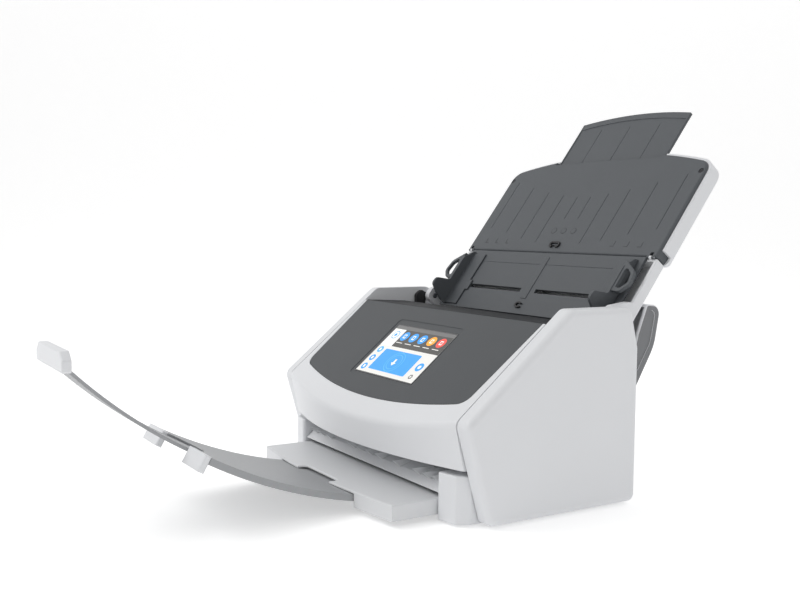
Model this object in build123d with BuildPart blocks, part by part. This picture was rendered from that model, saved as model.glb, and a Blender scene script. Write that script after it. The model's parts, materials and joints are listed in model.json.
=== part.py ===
from build123d import *
import math
import os

# Sheet fed document scanner, opened for use. Millimetres, +Z up, the front faces -Y, +X is the
# viewer's right. The pieces are drawn with y = 0 at the middle of the body and written with the
# origin on the desk, under the middle of the open machine's overall box.

os.makedirs("parts", exist_ok=True)

# ---------------------------------------------------------------- driving dimensions
OPEN_MIDDLE_Y = -51.02    # middle of the open machine, stacker end to chute top
BODY_HALF = 146.0         # half width over the side covers
INNER_HALF = 132.5        # inner faces of the side covers
UNIT_HALF = 131.5         # half width of everything between the side covers
FLOOR_Z = 1.5             # underside of the casing, above the desk
WALL = 2.4                # casing wall thickness
GAP = 0.5                 # running gap between neighbouring shells

LIP_Y, LIP_Z = -80.9, 75.3            # lower end of the sloping top
RIDGE_Y, RIDGE_Z = 11.5, 152.0        # upper end of the sloping top
TOP_REAR_Y = 72.4                     # rear end of the flat top
KINK_Y, KINK_Z = 80.5, 120.7          # where the back turns upright
REAR_Y = 80.8
FOOT_Y = -59.3                        # front of the body at the desk
LIP_BULGE_Y = -93.0                   # front of the lip at the centre
LIP_BOTTOM_Z = 40.5                   # lower edge of the front cover

SEAM_Y, SEAM_Z = 114.9, 189.3         # fold line between lower chute and cover
CHUTE_DEG = 52.7                      # slope of the open chute
CHUTE_HINGE = (71.0, 143.5)           # chute hinge axis (y, z)
LOWER_CHUTE = 67.4                    # length of the lower chute
COVER_HALF = 129.0
COVER_TOP = 118.0                     # length of the cover above the fold line, at the centre
CHUTE_HALF = 116.8
SKIN = 2.4                            # chute and cover skins

FLAP_HINGE = (76.5, 62.5)             # rear flap axis (y, z)
LID_HINGE = (-70.0, 52.0)             # feed unit axis (y, z)
LID_PIN_R = 2.0
CHUTE_PIN_R = 2.5
FLAP_PIN_R = 2.5
LEVER_PIVOT = (58.0, 134.0)
LEVER_PIN_R = 1.5
PIN_DEPTH = 2.0                       # how far a hinge pin enters a side cover
PIN_PLAY = 0.05

TRAY_HALF = 106.7
TRAY_FRONT_Y = -115.7
TRAY_TOP_Z = 16.3
TRAY_BOTTOM_Z = 4.4
ARC_Y, ARC_Z, ARC_R = -50.0, 379.0, 372.0   # the stacker extensions run on this arc

RACK_MODULE = 1.5
PINION_TEETH = 16
PINION_R = RACK_MODULE * PINION_TEETH / 2
PINION_S = -34.0                      # pinion centre along the lower chute

PATH_GAP = 1.0                        # half the gap between the two paper guides
PICK_Q, FEED_Q, SENSOR_Q = 30.0, 62.0, 86.0   # stations down the paper path

# ---------------------------------------------------------------- frames of reference
SLOPE_DEG = math.degrees(math.atan2(RIDGE_Z - LIP_Z, RIDGE_Y - LIP_Y))


def tilted(y, z, degrees):
    """A plane through (y, z) whose local x is X and whose local y climbs rearward at the angle."""
    a = math.radians(degrees)
    return Plane(origin=(0, y, z), x_dir=(1, 0, 0), z_dir=(0, -math.sin(a), math.cos(a)))


SLOPE = tilted(LIP_Y, LIP_Z, SLOPE_DEG)       # local (x, t), outward normal
CHUTE = tilted(SEAM_Y, SEAM_Z, CHUTE_DEG)     # local (x, s), normal towards the paper


def on_chute(s, n):
    """(y, z) of a point s up the chute and n in front of its paper face."""
    a = math.radians(CHUTE_DEG)
    return (SEAM_Y + s * math.cos(a) - n * math.sin(a), SEAM_Z + s * math.sin(a) + n * math.cos(a))


def on_slope(t, n):
    """(y, z) of a point t up the sloping top and n above it."""
    a = math.radians(SLOPE_DEG)
    return (LIP_Y + t * math.cos(a) - n * math.sin(a), LIP_Z + t * math.sin(a) + n * math.cos(a))


def on_path(q, n):
    """(y, z) of a point q down the paper path below the chute, n towards the front."""
    return on_chute(-LOWER_CHUTE - q, n)


def on_arc(degrees, radius):
    """(y, z) of a point on the stacker arc, the angle measured from straight down."""
    a = math.radians(degrees)
    return (ARC_Y - radius * math.sin(a), ARC_Z - radius * math.cos(a))


# ---------------------------------------------------------------- shared shapes
def outline(plane, corners):
    """A closed face on a plane. Each corner is (across, up, rounding radius)."""
    with BuildSketch(plane) as sketch:
        with BuildLine():
            FilletPolyline(*[c[:2] for c in corners], radius=[c[2] for c in corners], close=True)
        make_face()
    return sketch.sketch


def profile(x, corners):
    """A closed face in the (y, z) side view, at one x."""
    return outline(Plane.YZ.offset(x), corners)


def bowed(plane, half_low, half_high, low, high, low_sag, high_sag, radius=0.0):
    """A face with straight sides and arched ends, the ends bowed outward by their sags."""
    with BuildSketch(plane) as sketch:
        with BuildLine():
            for half, level, sag in ((half_low, low, -low_sag), (half_high, high, high_sag)):
                if sag:
                    ThreePointArc((-half, level), (0, level + sag), (half, level))
                else:
                    Line((-half, level), (half, level))
            Line((half_low, low), (half_high, high))
            Line((-half_high, high), (-half_low, low))
        make_face()
        if radius:
            fillet(sketch.vertices(), radius)
    return sketch.sketch


def block(x_low, x_high, corners):
    """A prism between two x values from a (y, z) outline."""
    with BuildPart() as prism:
        extrude(profile(x_low, corners), amount=x_high - x_low)
    return prism.part


def rod(x_low, x_high, centre, radius, bore=0):
    """A round bar along X, or a tube if it has a bore."""
    with BuildPart() as bar:
        with BuildSketch(Plane.YZ.offset(x_low)):
            with Locations(centre):
                Circle(radius)
                if bore:
                    Circle(bore, mode=Mode.SUBTRACT)
        extrude(amount=x_high - x_low)
    return bar.part


def inset(corners, wall):
    """The same outline moved inward by a wall, all corners sharp."""
    count = len(corners)
    moved = []
    for i in range(count):
        before, here, after = corners[i - 1], corners[i], corners[(i + 1) % count]
        lines = []
        for p, q in ((before, here), (here, after)):
            length = math.hypot(q[0] - p[0], q[1] - p[1])
            normal = ((q[1] - p[1]) / length, (p[0] - q[0]) / length)
            lines.append((normal, p[0] * normal[0] + p[1] * normal[1] + wall))
        (n1, d1), (n2, d2) = lines
        det = n1[0] * n2[1] - n1[1] * n2[0]
        moved.append(((d1 * n2[1] - d2 * n1[1]) / det, (n1[0] * d2 - n2[0] * d1) / det, 0))
    return moved


def save(part, name):
    """Put a finished piece in the machine's frame, label it and write it."""
    placed = part.moved(Location((0, -OPEN_MIDDLE_Y, 0)))
    placed.label = name
    export_step(placed, f"parts/{name}.step")


# ---------------------------------------------------------------- side covers
SIDE_OUTLINE = [
    (FOOT_Y, FLOOR_Z, 6),
    (LIP_Y, LIP_Z, 8),
    (RIDGE_Y, RIDGE_Z, 10),
    (TOP_REAR_Y, RIDGE_Z, 7),
    (KINK_Y, KINK_Z, 8),
    (REAR_Y, FLOOR_Z, 6),
]
HOLLOW_TOP_Z = 118.0      # the inner face of a side cover is closed above this


def side_cover(side):
    """One side cover: an outer skin with a rounded rim and a closed inner face at the top."""
    thickness = BODY_HALF - INNER_HALF
    with BuildPart() as cover:
        extrude(profile(side * INNER_HALF, SIDE_OUTLINE), amount=side * thickness)
        outer = cover.faces().sort_by(Axis.X)[-1 if side > 0 else 0]
        fillet(outer.edges(), 5)
        hollow = inset(SIDE_OUTLINE, 4.2)
        extrude(profile(side * (INNER_HALF + WALL), hollow), amount=side * 7.6, mode=Mode.SUBTRACT)
        opening = [c for c in inset(SIDE_OUTLINE, 14) if c[1] < HOLLOW_TOP_Z]
        opening.insert(2, (on_slope(50, -16)[0], on_slope(50, -16)[1], 0))
        extrude(profile(side * (INNER_HALF - 1), opening), amount=side * 5, mode=Mode.SUBTRACT)
        sockets = [(CHUTE_HINGE, CHUTE_PIN_R), (FLAP_HINGE, FLAP_PIN_R)]
        if side < 0:
            sockets.append((LEVER_PIVOT, LEVER_PIN_R))
        for centre, radius in sockets:
            x_low, x_high = sorted((side * (INNER_HALF - 1), side * (INNER_HALF + PIN_DEPTH + 0.2)))
            add(rod(x_low, x_high, centre, radius), mode=Mode.SUBTRACT)
    return cover.part


save(side_cover(-1), "left_side_cover")
save(side_cover(1), "right_side_cover")

# ---------------------------------------------------------------- base tray and front corners
POST_IN = 107.5           # inner face of a front corner post
POST_TOP_Z = 36.2
TRAY_SLOT_Z = 17.4        # roof of the stacker slot
CENTRE_SLOT = 65.0        # half width of the opening under the stacker extensions


def bulge_y(x, edge, centre, half):
    """Front line of the casing at x: an arc-like bow from the edge value to the centre value."""
    return centre + (edge - centre) * (x / half) ** 2


def corner_post(side):
    """A front corner of the base beside the tray: one column with a rounded front edge."""
    x_in, x_out = side * POST_IN, side * UNIT_HALF
    with BuildPart() as post:
        with BuildSketch(Plane.XY.offset(FLOOR_Z)):
            with BuildLine():
                Polyline((x_in, -55), (x_in, -79.5), (x_out - side * 5, -76), (x_out, -66), (x_out, -55),
                         close=True)
            make_face()
        extrude(amount=POST_TOP_Z - FLOOR_Z)
        fillet(post.edges().filter_by(Axis.Z).sort_by(Axis.Y)[:2], 3)
        fillet(post.faces().sort_by(Axis.Z)[-1].edges().sort_by(Axis.Y)[:2], 1.2)
    return post.part


HINGE_EAR_X = (113.5, 119.5)
EAR_R = 4.0
EAR_FOOT = 5.0            # the ear leans back from its hinge, clear of the swinging cover
EAR_REAR = 11.0


def hinge_ear(side):
    """An ear on a corner post that holds the feed unit's hinge pin."""
    ear = [
        (LID_HINGE[0] + EAR_FOOT, POST_TOP_Z - 1, 0),
        (LID_HINGE[0] - EAR_R, LID_HINGE[1] - 1, 0),
        (LID_HINGE[0] - EAR_R, LID_HINGE[1] + EAR_R, 3.5),
        (LID_HINGE[0] + EAR_R, LID_HINGE[1] + EAR_R, 3.5),
        (LID_HINGE[0] + EAR_REAR, POST_TOP_Z - 1, 0),
    ]
    x_low, x_high = sorted(side * x for x in HINGE_EAR_X)
    with BuildPart() as lug:
        extrude(profile(x_low, ear), amount=x_high - x_low)
        add(rod(x_low - 1, x_high + 1, LID_HINGE, LID_PIN_R), mode=Mode.SUBTRACT)
    return lug.part


FLOOR_TOP_Z = 3.6
BASE_FRONT_Y = -56.0
BASE_WALL_REAR_Y = 77.8

with BuildPart() as base_tray:
    with BuildSketch(Plane.XY.offset(FLOOR_Z)):
        with Locations((0, (BASE_FRONT_Y + BASE_WALL_REAR_Y) / 2)):
            Rectangle(2 * UNIT_HALF, BASE_WALL_REAR_Y - BASE_FRONT_Y)
        with Locations((0, -8)):
            Rectangle(2 * CENTRE_SLOT, 110, mode=Mode.SUBTRACT)
    extrude(amount=FLOOR_TOP_Z - FLOOR_Z)
    with BuildSketch(Plane.XY.offset(TRAY_SLOT_Z)):
        with Locations((0, 10)):
            Rectangle(2 * UNIT_HALF, 132)
    extrude(amount=WALL)
    for side in (-1, 1):
        add(block(*sorted((side * POST_IN, side * (POST_IN + 3))),
                  [(-56, FLOOR_Z, 0), (-56, 18, 0), (77.8, 18, 0), (77.8, FLOOR_Z, 0)]))
        add(block(*sorted((side * (UNIT_HALF - 3), side * UNIT_HALF)),
                  [(-56, FLOOR_Z, 0), (-56, 18, 0), (77.8, 18, 0), (77.8, FLOOR_Z, 0)]))
        add(corner_post(side))
        add(hinge_ear(side))
save(base_tray.part, "base_tray")

FEET = [(-118, -48), (118, -48), (-118, 66), (118, 66)]
with BuildPart() as rubber_feet:
    for foot in FEET:
        with BuildSketch(Plane.XY):
            with Locations(foot):
                Circle(6.5)
        extrude(amount=FLOOR_Z)
    fillet(rubber_feet.faces().sort_by(Axis.Z)[:4].edges(), 0.5)
save(rubber_feet.part, "rubber_feet")

# ---------------------------------------------------------------- side frames
FRAME_IN, FRAME_OUT = 127.0, 128.3


def side_frame(side):
    """A sheet metal frame that carries the shafts, with a clearance hole at each shaft."""
    plate = [(-54, 34, 2), (-12, 36, 4), (18, 76, 6), (50, 126, 4), (73, 126, 4), (73, 20.4, 2),
            (-54, 20.4, 2)]
    x_low, x_high = sorted((side * FRAME_IN, side * FRAME_OUT))
    with BuildPart() as frame:
        extrude(profile(x_low, plate), amount=x_high - x_low)
        for centre, radius in BUSH_SEATS:
            add(rod(x_low - 1, x_high + 1, centre, radius), mode=Mode.SUBTRACT)
        if side < 0:
            add(rod(x_low - 1, x_high + 1, MOTOR_C, MOTOR_HOLE_R), mode=Mode.SUBTRACT)
    return frame.part


PICK_R, FEED_R, EJECT_R = 9.5, 7.0, 5.0
PICK_C = on_path(PICK_Q, -PICK_R - 0.2)
FEED_C = on_path(FEED_Q, -FEED_R - 0.2)
EJECT_C = (-48.0, 26.4)
MOTOR_C = (48.0, 44.0)
MOTOR_HOLE_R = 5.4
BUSH_R = 5.0
BUSH_SEATS = [(PICK_C, BUSH_R), (FEED_C, BUSH_R), (EJECT_C, 4.2)]
save(side_frame(-1), "left_side_frame")
save(side_frame(1), "right_side_frame")

# ---------------------------------------------------------------- paper path of the base
CURVE_Q = 104.0
EXIT_Z = 32.0             # paper height at the exit


def path_points(offset, start_q=6):
    """Points of the paper path from a station to its flat front end, moved off it by an offset."""
    start = on_path(CURVE_Q, 0)
    turn = math.radians(CHUTE_DEG)
    radius = (start[1] - EXIT_Z) / (1 - math.cos(turn))
    centre = (start[0] - radius * math.sin(turn), EXIT_Z + radius)
    points = [on_path(start_q, offset), on_path(CURVE_Q - 0.5, offset)]
    for step in range(1, 6):
        a = turn * (1 - step / 5)
        r = radius - offset
        points.append((centre[0] + r * math.sin(a), centre[1] - r * math.cos(a)))
    return points


def strip(points, other_side, end_y):
    """A closed outline from a run of points out to end_y, and back along a second run."""
    front = [(end_y, points[-1][1], 0), (end_y, other_side[-1][1], 0)]
    return [(y, z, 0) for y, z in points] + front + [(y, z, 0) for y, z in reversed(other_side)]


GUIDE_HALF = 112.0
ROLL_X = [(-24, -8), (8, 24)]          # pick roller tyres
DRIVE_X = [(-70, -52), (-34, -16), (16, 34), (52, 70)]   # feed and eject roller tyres


def window(x_low, x_high, centre, radius):
    """A square clearance block for one roller tyre."""
    y, z = centre
    square = [(y - radius, z - radius, 0), (y - radius, z + radius, 0), (y + radius, z + radius, 0),
              (y + radius, z - radius, 0)]
    return block(x_low, x_high, square)


SENSOR_HALF = 110.0
GLASS_T = 2.0
GLASS_H = 16.0


def sensor_block(q_half, n_low, n_high):
    """(y, z) outline of a bar that lies along the path at the sensor station."""
    return [(*on_path(SENSOR_Q - q_half, n_low), 0), (*on_path(SENSOR_Q - q_half, n_high), 0),
            (*on_path(SENSOR_Q + q_half, n_high), 0), (*on_path(SENSOR_Q + q_half, n_low), 0)]


with BuildPart() as lower_paper_guide:
    face = strip(path_points(-PATH_GAP), path_points(-PATH_GAP - 2.0), -40)
    extrude(profile(-GUIDE_HALF, face), amount=2 * GUIDE_HALF)
    for x_low, x_high in ROLL_X:
        add(window(x_low - 1, x_high + 1, PICK_C, PICK_R + 1), mode=Mode.SUBTRACT)
    for x_low, x_high in DRIVE_X:
        add(window(x_low - 1, x_high + 1, FEED_C, FEED_R + 1), mode=Mode.SUBTRACT)
    add(block(-SENSOR_HALF - 0.3, SENSOR_HALF + 0.3, sensor_block(GLASS_H / 2 + 0.3, -6, 1)),
            mode=Mode.SUBTRACT)
save(lower_paper_guide.part, "lower_paper_guide")

EXIT_RIBS = [-97, -84, -70, -28, -14, 0, 16, 44, 72, 86, 98]
with BuildPart() as exit_guide:
    with BuildSketch(Plane.YZ.offset(-106)):
        with BuildLine():
            Polyline((-44, 20.0), (-44, 30.6), (-58, 29.4), (-70, 25.4), (-76.5, 20.0), close=True)
        make_face()
    extrude(amount=212)
    with BuildSketch(Plane.YZ.offset(-107)):
        with BuildLine():
            Polyline((-44, 19.9), (-44, 28.6), (-57.4, 27.4), (-68.8, 23.6), (-73, 19.9), close=True)
        make_face()
    extrude(amount=214, mode=Mode.SUBTRACT)
    for x in EXIT_RIBS:
        rib = [(-58.0, 28.0, 0), (-58.0, 30.6, 0), (-77.5, 30.4, 0), (-70, 24.6, 0)]
        add(block(x - 0.9, x + 0.9, rib))
    for x_low, x_high in DRIVE_X:
        add(window(x_low - 1, x_high + 1, EJECT_C, EJECT_R + 1.2), mode=Mode.SUBTRACT)
    add(rod(-107, 107, EJECT_C, 3.0), mode=Mode.SUBTRACT)
save(exit_guide.part, "exit_guide")

# ---------------------------------------------------------------- image sensors
with BuildPart() as rear_scan_glass:
    extrude(profile(-SENSOR_HALF, sensor_block(GLASS_H / 2, -PATH_GAP - GLASS_T, -PATH_GAP)),
            amount=2 * SENSOR_HALF)
save(rear_scan_glass.part, "rear_scan_glass")

with BuildPart() as rear_image_sensor:
    extrude(profile(-SENSOR_HALF - 2, sensor_block(GLASS_H / 2 + 1, -PATH_GAP - 16, -PATH_GAP - 2.2)),
            amount=2 * SENSOR_HALF + 4)
    extrude(profile(-SENSOR_HALF + 4, sensor_block(GLASS_H / 2 - 2, -PATH_GAP - 12, -PATH_GAP - 1)),
            amount=2 * SENSOR_HALF - 8, mode=Mode.SUBTRACT)
save(rear_image_sensor.part, "rear_image_sensor")

with BuildPart() as front_scan_glass:
    extrude(profile(-SENSOR_HALF, sensor_block(GLASS_H / 2, PATH_GAP, PATH_GAP + GLASS_T)),
            amount=2 * SENSOR_HALF)
save(front_scan_glass.part, "front_scan_glass")

with BuildPart() as front_image_sensor:
    extrude(profile(-SENSOR_HALF - 2, sensor_block(GLASS_H / 2 + 1, PATH_GAP + 2.2, PATH_GAP + 16)),
            amount=2 * SENSOR_HALF + 4)
    extrude(profile(-SENSOR_HALF + 4, sensor_block(GLASS_H / 2 - 2, PATH_GAP + 1, PATH_GAP + 12)),
            amount=2 * SENSOR_HALF - 8, mode=Mode.SUBTRACT)
save(front_image_sensor.part, "front_image_sensor")

# ---------------------------------------------------------------- driven rollers
SHAFT_R = 3.0
EJECT_SHAFT_R = 2.0
PULLEY_X = (128.9, 131.9)              # timing pulleys, outside the left side frame


def roller_shaft(centre, radius, left, right):
    """A shaft through both side frames; an end that carries a pulley reaches its outer face."""
    ends = {True: PULLEY_X[1] - 0.3, False: FRAME_OUT + 0.3}
    with BuildPart() as shaft:
        add(rod(-ends[left], ends[right], centre, radius))
        chamfer(shaft.edges().filter_by(GeomType.CIRCLE), 0.4)
    return shaft.part


def tyres(centre, radius, bore, spans):
    """Rubber tyres pressed on a shaft, with rounded shoulders."""
    with BuildPart() as rubber:
        for x_low, x_high in spans:
            add(rod(x_low, x_high, centre, radius, bore))
        rims = rubber.edges().filter_by(GeomType.CIRCLE).filter_by(lambda e: e.radius > bore + 1)
        fillet(rims, 0.8)
    return rubber.part


save(roller_shaft(PICK_C, SHAFT_R, True, False), "pick_shaft")
save(roller_shaft(FEED_C, SHAFT_R, True, True), "feed_shaft")
save(roller_shaft(EJECT_C, EJECT_SHAFT_R, False, True), "eject_shaft")
save(tyres(PICK_C, PICK_R, SHAFT_R, ROLL_X), "pick_tyres")
save(tyres(FEED_C, FEED_R, SHAFT_R, DRIVE_X), "feed_tyres")
save(tyres(EJECT_C, EJECT_R, EJECT_SHAFT_R, DRIVE_X), "eject_tyres")

# shaft bushes, seated in the side frames
SHAFT_PLAY = 0.05
with BuildPart() as shaft_bushes:
    for side in (-1, 1):
        for (centre, seat_r), shaft_r in zip(BUSH_SEATS, (SHAFT_R, SHAFT_R, EJECT_SHAFT_R)):
            x_low, x_high = sorted((side * (FRAME_IN - 0.8), side * (FRAME_OUT + 0.2)))
            add(rod(x_low, x_high, centre, seat_r, shaft_r + SHAFT_PLAY))
save(shaft_bushes.part, "shaft_bushes")

# ---------------------------------------------------------------- drive
MOTOR_PULLEY_R = 5.0
MOTOR_SHAFT_R = 1.5
PULLEY_R = 7.5
EJECT_PULLEY_R = 5.5
BELT_T = 0.9
BELT_X = (129.3, 131.5)

def pulley(side, centre, radius, bore):
    """A belt wheel outside one side frame."""
    x_low, x_high = sorted((side * PULLEY_X[0], side * PULLEY_X[1]))
    return rod(x_low, x_high, centre, radius, bore)


with BuildPart() as feed_pulleys:
    add(pulley(-1, FEED_C, PULLEY_R, SHAFT_R))
    add(pulley(1, FEED_C, PULLEY_R, SHAFT_R))
save(feed_pulleys.part, "feed_pulleys")
save(pulley(-1, PICK_C, PULLEY_R, SHAFT_R), "pick_pulley")
save(pulley(-1, MOTOR_C, MOTOR_PULLEY_R, MOTOR_SHAFT_R), "motor_pulley")
save(pulley(1, EJECT_C, EJECT_PULLEY_R, EJECT_SHAFT_R), "eject_pulley")

with BuildPart() as drive_motor:
    add(rod(-124, -86, MOTOR_C, 17))
    fillet(drive_motor.edges().filter_by(GeomType.CIRCLE), 1.5)
    add(rod(-126.6, -124, MOTOR_C, 5))
    add(rod(-PULLEY_X[1] + 0.2, -126.6, MOTOR_C, MOTOR_SHAFT_R - SHAFT_PLAY))
save(drive_motor.part, "drive_motor")

# ---------------------------------------------------------------- electronics and sockets
with BuildPart() as main_board:
    with BuildSketch(Plane.XZ.offset(-70)):
        with Locations((20, 58)):
            Rectangle(170, 66)
    extrude(amount=1.6)
    with BuildSketch(Plane.XZ.offset(-68.4)):
        with Locations((0, 62), (40, 50), (74, 70)):
            Rectangle(16, 16)
    extrude(amount=2)
    with BuildSketch(Plane.XZ.offset(-68.4)):
        with Locations((-40, 40), (-40, 52), (88, 44)):
            Circle(4)
    extrude(amount=8)
save(main_board.part, "main_board")

USB_X, POWER_X, SOCKET_Z = 70.0, 98.0, 30.0
REAR_WALL_Y = (78.3, 80.7)


def socket(x, width, height):
    """A metal or plastic connector shell facing the back, with its mouth open."""
    with BuildPart() as shell:
        with BuildSketch(Plane.XZ.offset(-70.05)):
            with Locations((x, SOCKET_Z)):
                RectangleRounded(width, height, 1)
        extrude(amount=-9.8)
        with BuildSketch(Plane.XZ.offset(-79.9)):
            with Locations((x, SOCKET_Z)):
                RectangleRounded(width - 1.6, height - 1.6, 0.5)
        extrude(amount=8, mode=Mode.SUBTRACT)
    return shell.part


save(socket(USB_X, 11, 10), "usb_socket")
save(socket(POWER_X, 12, 11), "power_socket")

with BuildPart() as rear_cover:
    back = [(REAR_WALL_Y[0], FLOOR_Z, 0), (REAR_WALL_Y[0], 56, 0), (REAR_WALL_Y[1], 56, 0),
            (REAR_WALL_Y[1], FLOOR_Z, 0)]
    add(block(-UNIT_HALF, UNIT_HALF, back))
    for x, width, height in ((USB_X, 11, 10), (POWER_X, 12, 11)):
        with BuildSketch(Plane.XZ.offset(-76)):
            with Locations((x, SOCKET_Z)):
                RectangleRounded(width + 0.8, height + 0.8, 1.3)
        extrude(amount=-8, mode=Mode.SUBTRACT)
    with BuildSketch(Plane.XZ.offset(-76)):
        with GridLocations(7, 0, 12, 1):
            with Locations((-55, 34)):
                RectangleRounded(3, 22, 1.4)
    extrude(amount=-8, mode=Mode.SUBTRACT)
save(rear_cover.part, "rear_cover")

# ---------------------------------------------------------------- feed unit: front cover
PANEL_LOW_HALF, PANEL_HIGH_HALF = 123.0, 128.6
PANEL_LOW_T, PANEL_TOP_T = 18.0, 103.0
PANEL_SAG = 17.6


def unit_front(x):
    """Front line of the feed unit's lip at x."""
    return bulge_y(x, -80.6, LIP_BULGE_Y - 3, UNIT_HALF)


def lip_section(x):
    """(y, z) section of the front cover's solid form at one x."""
    bow = unit_front(x) - (-80.6)
    crest = on_slope(0, 0)
    chin = (-72.8 + bow * 1.45, LIP_BOTTOM_Z)
    top = on_slope(0, 0)
    crest = (top[0] + bow, top[1] + bow * math.tan(math.radians(SLOPE_DEG)))
    return crest, chin


LIP_STATIONS = [-UNIT_HALF, -117, -90, -45, 0, 45, 90, 117, UNIT_HALF]


def lofted_front(wall, half):
    """The front cover's outer or inner form."""
    faces = []
    for x in [min(max(s, -half), half) for s in LIP_STATIONS]:
        crest, chin = lip_section(x)
        corners = [
            (chin[0], chin[1], 0),
            (crest[0], crest[1], 0),
            (*on_slope(PANEL_TOP_T, 0), 0),
            (*on_slope(PANEL_TOP_T, -12), 0),
            (*on_slope(14, -26), 0),
            (-58.0, LIP_BOTTOM_Z, 0),
        ]
        if wall:
            front = inset(corners, wall)[:2]
            corners = front + [(*on_slope(PANEL_TOP_T + 4, -wall), 0), (*on_slope(PANEL_TOP_T + 4,
                    -60), 0),
                               (-30.0, LIP_BOTTOM_Z + wall, 0)]
        faces.append(profile(x, corners))
    with BuildPart() as form:
        loft(faces, ruled=False)
    return form.part


EAR_SLOT = 0.8            # side play around a hinge ear
SLOT_FRONT = 4.8          # stops inside the front wall, so the outer face stays whole
SLOT_REAR = 13.0
SLOT_TOP_Z = 44.0
PANEL_EDGE = 0.35         # gap round the control panel


def panel_face(grow, plane):
    """The control panel's outline: an arched lower edge and straight sides that widen upward."""
    flare = (PANEL_HIGH_HALF - PANEL_LOW_HALF) / (PANEL_TOP_T - PANEL_LOW_T)
    low, high = PANEL_LOW_T - grow, PANEL_TOP_T + (6 if grow else 0)
    half_low = PANEL_LOW_HALF + grow - flare * grow
    return bowed(plane, half_low, half_low + flare * (high - low), low, high, PANEL_SAG, 0)


def panel_blank(grow, n_low, n_high):
    """A slab of the control panel's outline between two heights over the slope."""
    with BuildPart() as slab:
        extrude(panel_face(grow, SLOPE.offset(n_low)), amount=n_high - n_low)
        corners = slab.edges().filter_by(lambda e: e.length < 1.01 * (n_high - n_low))
        corners = corners.filter_by(lambda e: e.center().Z < LIP_Z + 30)
        fillet(corners, 12)
    return slab.part


with BuildPart() as front_cover:
    add(lofted_front(0, UNIT_HALF))
    add(lofted_front(WALL, UNIT_HALF - WALL), mode=Mode.SUBTRACT)
    add(panel_blank(PANEL_EDGE, -5, 3), mode=Mode.SUBTRACT)
    for side in (-1, 1):
        x_low, x_high = sorted(side * x for x in HINGE_EAR_X)
        front, rear = LID_HINGE[0] - SLOT_FRONT, LID_HINGE[0] + SLOT_REAR
        slot = [(front, LIP_BOTTOM_Z - 1, 0), (front, SLOT_TOP_Z, 0),
                (rear, SLOT_TOP_Z, 0), (rear, LIP_BOTTOM_Z - 1, 0)]
        add(block(x_low - EAR_SLOT, x_high + EAR_SLOT, slot), mode=Mode.SUBTRACT)
    lip_edges = front_cover.edges().filter_by(lambda e: e.bounding_box().size.X > 200)
    fillet(lip_edges.sort_by(Axis.Y)[0], 6)
save(front_cover.part, "front_cover")

# pins that carry the feed unit in the ears of the base
with BuildPart() as lid_hinge_pins:
    for side in (-1, 1):
        x_low, x_high = sorted((side * (HINGE_EAR_X[0] - 3.4), side * (HINGE_EAR_X[1] + 3.4)))
        add(rod(x_low, x_high, LID_HINGE, LID_PIN_R - PIN_PLAY))
save(lid_hinge_pins.part, "lid_hinge_pins")

# ---------------------------------------------------------------- control panel and display
PANEL_T = 2.6
SCREEN = (-40.3, 47.0, 23.0, 78.6)        # lit area on the slope: x and t
GLASS_EDGE = 1.2
BEZEL = (-46.0, 50.0, 18.5, 86.0)
BEZEL_STEP = 0.35


def slope_box(x_low, x_high, t_low, t_high, n_low, n_high, radius=0.0):
    """A flat box lying on the sloping top."""
    with BuildPart() as flat:
        with BuildSketch(SLOPE.offset(n_low)):
            with Locations(((x_low + x_high) / 2, (t_low + t_high) / 2)):
                if radius:
                    RectangleRounded(x_high - x_low, t_high - t_low, radius)
                else:
                    Rectangle(x_high - x_low, t_high - t_low)
        extrude(amount=n_high - n_low)
    return flat.part


def grown(rectangle, edge):
    """A rectangle (x low, x high, t low, t high) grown by an edge all round."""
    return (rectangle[0] - edge, rectangle[1] + edge, rectangle[2] - edge, rectangle[3] + edge)


with BuildPart() as control_panel:
    add(panel_blank(0, -PANEL_T, 0))
    add(slope_box(*BEZEL, -BEZEL_STEP, 1, 4), mode=Mode.SUBTRACT)
    add(slope_box(*grown(SCREEN, GLASS_EDGE + 0.2), -4, 1, 1), mode=Mode.SUBTRACT)
save(control_panel.part, "control_panel")
save(slope_box(*grown(SCREEN, GLASS_EDGE), -1.5, -0.2, 0.8), "touch_glass")
save(slope_box(*grown(SCREEN, 3.5), -9.0, -PANEL_T - 0.05), "display_module")

# ---------------------------------------------------------------- top plate and inner unit
TOP_PLATE_REAR = 44.0
TOP_PLATE_Z = 139.0
ridge = on_slope(PANEL_TOP_T + 0.5, 0)
with BuildPart() as top_plate:
    plate = [(ridge[0], ridge[1] - 0.2, 1.0), (TOP_PLATE_REAR, TOP_PLATE_Z, 2.5), (45.6, 126.4, 0),
             (43.2, 126.4, 0), (41.4, TOP_PLATE_Z - 2.6, 0), (*on_slope(PANEL_TOP_T + 0.5, -3.2), 0)]
    extrude(profile(-UNIT_HALF + 0.3, plate), amount=2 * UNIT_HALF - 0.6)
save(top_plate.part, "top_plate")

BRAKE_R = 8.5
BRAKE_C = on_path(PICK_Q, BRAKE_R + 0.2)
PINCH_R = 4.5
PINCH_C = on_path(FEED_Q, PINCH_R + 0.2)
EJECT_PINCH_C = (EJECT_C[0], EJECT_C[1] + EJECT_R + PINCH_R + 0.4)
PINCH_SHAFT_R = 1.5

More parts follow.
